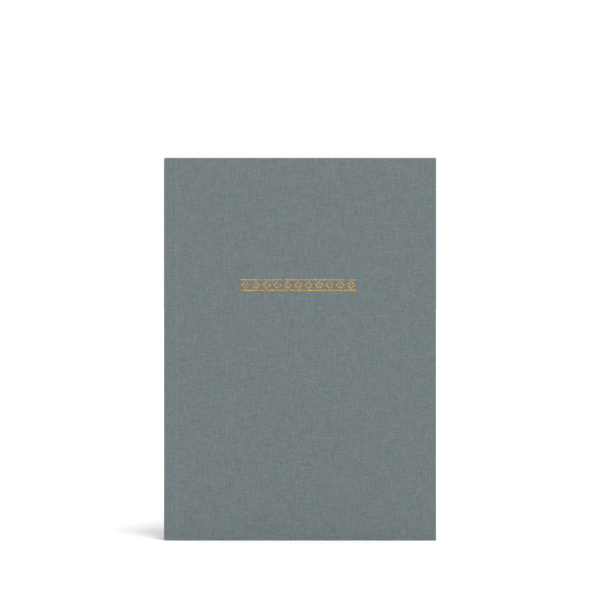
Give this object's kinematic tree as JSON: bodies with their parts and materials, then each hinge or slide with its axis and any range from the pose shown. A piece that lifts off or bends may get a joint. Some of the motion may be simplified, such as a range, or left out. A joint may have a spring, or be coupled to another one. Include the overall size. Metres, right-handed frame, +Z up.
{
  "type": "address book",
  "caption": "Cloth-bound upright address book with hinged boards, endpapers and stepped alphabet index leaves that fan open from a bound back.",
  "frame": {"origin": "under the middle of the closed book, on the plane that it stands on", "axes": "+Z up along the spine from tail to head, +X from the spine to the fore edge, -Y out of the front cover"},
  "size_m": [0.153, 0.0178, 0.215],
  "materials": {
    "book_cloth": "matt slate linen book cloth",
    "pulp_board": "pressed grey pulp board",
    "endpaper": "uncoated ivory paper",
    "leaf_paper": "uncoated off-white paper",
    "lining_cloth": "open-weave starched cotton",
    "lining_paper": "brown wrapping paper",
    "band_weave": "woven cotton band"
  },
  "bodies": {
    "spine": {"spine_board": "pulp_board", "spine_cloth": "book_cloth", "hollow_tube": "lining_paper", "mull": "lining_cloth", "bound_back": "leaf_paper", "head_band": "band_weave", "tail_band": "band_weave"},
    "front_cover": {"front_board": "pulp_board", "front_cloth": "book_cloth", "front_mull_flap": "lining_cloth", "front_pastedown": "endpaper"},
    "back_cover": {"back_board": "pulp_board", "back_cloth": "book_cloth", "back_mull_flap": "lining_cloth", "back_pastedown": "endpaper"},
    "leaves_m": {"index_section_m": "leaf_paper"},
    "leaves_l": {"index_section_l": "leaf_paper"},
    "leaves_k": {"index_section_k": "leaf_paper"},
    "leaves_j": {"index_section_j": "leaf_paper"},
    "leaves_i": {"index_section_i": "leaf_paper"},
    "leaves_h": {"index_section_h": "leaf_paper"},
    "leaves_g": {"index_section_g": "leaf_paper"},
    "leaves_f": {"index_section_f": "leaf_paper"},
    "leaves_e": {"index_section_e": "leaf_paper"},
    "leaves_d": {"index_section_d": "leaf_paper"},
    "leaves_c": {"index_section_c": "leaf_paper"},
    "leaves_b": {"index_section_b": "leaf_paper"},
    "leaves_a": {"index_section_a": "leaf_paper"},
    "front_fly": {"front_flyleaf": "endpaper"},
    "leaves_n": {"index_section_n": "leaf_paper"},
    "leaves_o": {"index_section_o": "leaf_paper"},
    "leaves_p": {"index_section_p": "leaf_paper"},
    "leaves_q": {"index_section_q": "leaf_paper"},
    "leaves_r": {"index_section_r": "leaf_paper"},
    "leaves_s": {"index_section_s": "leaf_paper"},
    "leaves_t": {"index_section_t": "leaf_paper"},
    "leaves_u": {"index_section_u": "leaf_paper"},
    "leaves_v": {"index_section_v": "leaf_paper"},
    "leaves_w": {"index_section_w": "leaf_paper"},
    "leaves_x": {"index_section_x": "leaf_paper"},
    "leaves_y": {"index_section_y": "leaf_paper"},
    "leaves_z": {"index_section_z": "leaf_paper"},
    "back_fly": {"back_flyleaf": "endpaper"}
  },
  "joints": [
    {"name": "front_cover_hinge", "type": "hinge", "parent": "spine", "child": "front_cover", "pos_m": [-0.074, -0.00866, 0], "axis": [0, 0, -1], "range_deg": [0, 179.5]},
    {"name": "back_cover_hinge", "type": "hinge", "parent": "spine", "child": "back_cover", "pos_m": [-0.074, 0.00866, 0], "axis": [0, 0, 1], "range_deg": [0, 179.5]},
    {"name": "leaves_m_turn", "type": "hinge", "parent": "spine", "child": "leaves_m", "pos_m": [-0.07072, -0.00021, 0], "axis": [0, 0, -1], "range_deg": [0, 3.33]},
    {"name": "leaves_l_turn", "type": "hinge", "parent": "spine", "child": "leaves_l", "pos_m": [-0.07072, -0.00063, 0], "axis": [0, 0, -1], "range_deg": [0, 10]},
    {"name": "leaves_k_turn", "type": "hinge", "parent": "spine", "child": "leaves_k", "pos_m": [-0.07072, -0.00105, 0], "axis": [0, 0, -1], "range_deg": [0, 16.67]},
    {"name": "leaves_j_turn", "type": "hinge", "parent": "spine", "child": "leaves_j", "pos_m": [-0.07073, -0.00147, 0], "axis": [0, 0, -1], "range_deg": [0, 23.33]},
    {"name": "leaves_i_turn", "type": "hinge", "parent": "spine", "child": "leaves_i", "pos_m": [-0.07078, -0.00189, 0], "axis": [0, 0, -1], "range_deg": [0, 30]},
    {"name": "leaves_h_turn", "type": "hinge", "parent": "spine", "child": "leaves_h", "pos_m": [-0.07086, -0.00231, 0], "axis": [0, 0, -1], "range_deg": [0, 36.67]},
    {"name": "leaves_g_turn", "type": "hinge", "parent": "spine", "child": "leaves_g", "pos_m": [-0.07097, -0.00273, 0], "axis": [0, 0, -1], "range_deg": [0, 43.33]},
    {"name": "leaves_f_turn", "type": "hinge", "parent": "spine", "child": "leaves_f", "pos_m": [-0.07112, -0.00315, 0], "axis": [0, 0, -1], "range_deg": [0, 50]},
    {"name": "leaves_e_turn", "type": "hinge", "parent": "spine", "child": "leaves_e", "pos_m": [-0.0713, -0.00357, 0], "axis": [0, 0, -1], "range_deg": [0, 56.67]},
    {"name": "leaves_d_turn", "type": "hinge", "parent": "spine", "child": "leaves_d", "pos_m": [-0.0715, -0.00399, 0], "axis": [0, 0, -1], "range_deg": [0, 63.33]},
    {"name": "leaves_c_turn", "type": "hinge", "parent": "spine", "child": "leaves_c", "pos_m": [-0.07175, -0.00441, 0], "axis": [0, 0, -1], "range_deg": [0, 70]},
    {"name": "leaves_b_turn", "type": "hinge", "parent": "spine", "child": "leaves_b", "pos_m": [-0.07203, -0.00483, 0], "axis": [0, 0, -1], "range_deg": [0, 76.67]},
    {"name": "leaves_a_turn", "type": "hinge", "parent": "spine", "child": "leaves_a", "pos_m": [-0.07234, -0.00525, 0], "axis": [0, 0, -1], "range_deg": [0, 83.33]},
    {"name": "front_fly_turn", "type": "hinge", "parent": "spine", "child": "front_fly", "pos_m": [-0.0726, -0.00556, 0], "axis": [0, 0, -1], "range_deg": [0, 90]},
    {"name": "leaves_n_turn", "type": "hinge", "parent": "spine", "child": "leaves_n", "pos_m": [-0.07072, 0.00021, 0], "axis": [0, 0, 1], "range_deg": [0, 3.33]},
    {"name": "leaves_o_turn", "type": "hinge", "parent": "spine", "child": "leaves_o", "pos_m": [-0.07072, 0.00063, 0], "axis": [0, 0, 1], "range_deg": [0, 10]},
    {"name": "leaves_p_turn", "type": "hinge", "parent": "spine", "child": "leaves_p", "pos_m": [-0.07072, 0.00105, 0], "axis": [0, 0, 1], "range_deg": [0, 16.67]},
    {"name": "leaves_q_turn", "type": "hinge", "parent": "spine", "child": "leaves_q", "pos_m": [-0.07073, 0.00147, 0], "axis": [0, 0, 1], "range_deg": [0, 23.33]},
    {"name": "leaves_r_turn", "type": "hinge", "parent": "spine", "child": "leaves_r", "pos_m": [-0.07078, 0.00189, 0], "axis": [0, 0, 1], "range_deg": [0, 30]},
    {"name": "leaves_s_turn", "type": "hinge", "parent": "spine", "child": "leaves_s", "pos_m": [-0.07086, 0.00231, 0], "axis": [0, 0, 1], "range_deg": [0, 36.67]},
    {"name": "leaves_t_turn", "type": "hinge", "parent": "spine", "child": "leaves_t", "pos_m": [-0.07097, 0.00273, 0], "axis": [0, 0, 1], "range_deg": [0, 43.33]},
    {"name": "leaves_u_turn", "type": "hinge", "parent": "spine", "child": "leaves_u", "pos_m": [-0.07112, 0.00315, 0], "axis": [0, 0, 1], "range_deg": [0, 50]},
    {"name": "leaves_v_turn", "type": "hinge", "parent": "spine", "child": "leaves_v", "pos_m": [-0.0713, 0.00357, 0], "axis": [0, 0, 1], "range_deg": [0, 56.67]},
    {"name": "leaves_w_turn", "type": "hinge", "parent": "spine", "child": "leaves_w", "pos_m": [-0.0715, 0.00399, 0], "axis": [0, 0, 1], "range_deg": [0, 63.33]},
    {"name": "leaves_x_turn", "type": "hinge", "parent": "spine", "child": "leaves_x", "pos_m": [-0.07175, 0.00441, 0], "axis": [0, 0, 1], "range_deg": [0, 70]},
    {"name": "leaves_y_turn", "type": "hinge", "parent": "spine", "child": "leaves_y", "pos_m": [-0.07203, 0.00483, 0], "axis": [0, 0, 1], "range_deg": [0, 76.67]},
    {"name": "leaves_z_turn", "type": "hinge", "parent": "spine", "child": "leaves_z", "pos_m": [-0.07234, 0.00525, 0], "axis": [0, 0, 1], "range_deg": [0, 83.33]},
    {"name": "back_fly_turn", "type": "hinge", "parent": "spine", "child": "back_fly", "pos_m": [-0.0726, 0.00556, 0], "axis": [0, 0, 1], "range_deg": [0, 90]}
  ],
  "couplings": [
    {"joint": "leaves_m_turn", "follows": "front_cover_hinge", "ratio": 0.01857},
    {"joint": "leaves_l_turn", "follows": "front_cover_hinge", "ratio": 0.05571},
    {"joint": "leaves_k_turn", "follows": "front_cover_hinge", "ratio": 0.092851},
    {"joint": "leaves_j_turn", "follows": "front_cover_hinge", "ratio": 0.12999},
    {"joint": "leaves_i_turn", "follows": "front_cover_hinge", "ratio": 0.16713},
    {"joint": "leaves_h_turn", "follows": "front_cover_hinge", "ratio": 0.20427},
    {"joint": "leaves_g_turn", "follows": "front_cover_hinge", "ratio": 0.24141},
    {"joint": "leaves_f_turn", "follows": "front_cover_hinge", "ratio": 0.27855},
    {"joint": "leaves_e_turn", "follows": "front_cover_hinge", "ratio": 0.31569},
    {"joint": "leaves_d_turn", "follows": "front_cover_hinge", "ratio": 0.35283},
    {"joint": "leaves_c_turn", "follows": "front_cover_hinge", "ratio": 0.38997},
    {"joint": "leaves_b_turn", "follows": "front_cover_hinge", "ratio": 0.42711},
    {"joint": "leaves_a_turn", "follows": "front_cover_hinge", "ratio": 0.46425},
    {"joint": "front_fly_turn", "follows": "front_cover_hinge", "ratio": 0.50139},
    {"joint": "leaves_n_turn", "follows": "back_cover_hinge", "ratio": 0.01857},
    {"joint": "leaves_o_turn", "follows": "back_cover_hinge", "ratio": 0.05571},
    {"joint": "leaves_p_turn", "follows": "back_cover_hinge", "ratio": 0.092851},
    {"joint": "leaves_q_turn", "follows": "back_cover_hinge", "ratio": 0.12999},
    {"joint": "leaves_r_turn", "follows": "back_cover_hinge", "ratio": 0.16713},
    {"joint": "leaves_s_turn", "follows": "back_cover_hinge", "ratio": 0.20427},
    {"joint": "leaves_t_turn", "follows": "back_cover_hinge", "ratio": 0.24141},
    {"joint": "leaves_u_turn", "follows": "back_cover_hinge", "ratio": 0.27855},
    {"joint": "leaves_v_turn", "follows": "back_cover_hinge", "ratio": 0.31569},
    {"joint": "leaves_w_turn", "follows": "back_cover_hinge", "ratio": 0.35283},
    {"joint": "leaves_x_turn", "follows": "back_cover_hinge", "ratio": 0.38997},
    {"joint": "leaves_y_turn", "follows": "back_cover_hinge", "ratio": 0.42711},
    {"joint": "leaves_z_turn", "follows": "back_cover_hinge", "ratio": 0.46425},
    {"joint": "back_fly_turn", "follows": "back_cover_hinge", "ratio": 0.50139}
  ]
}
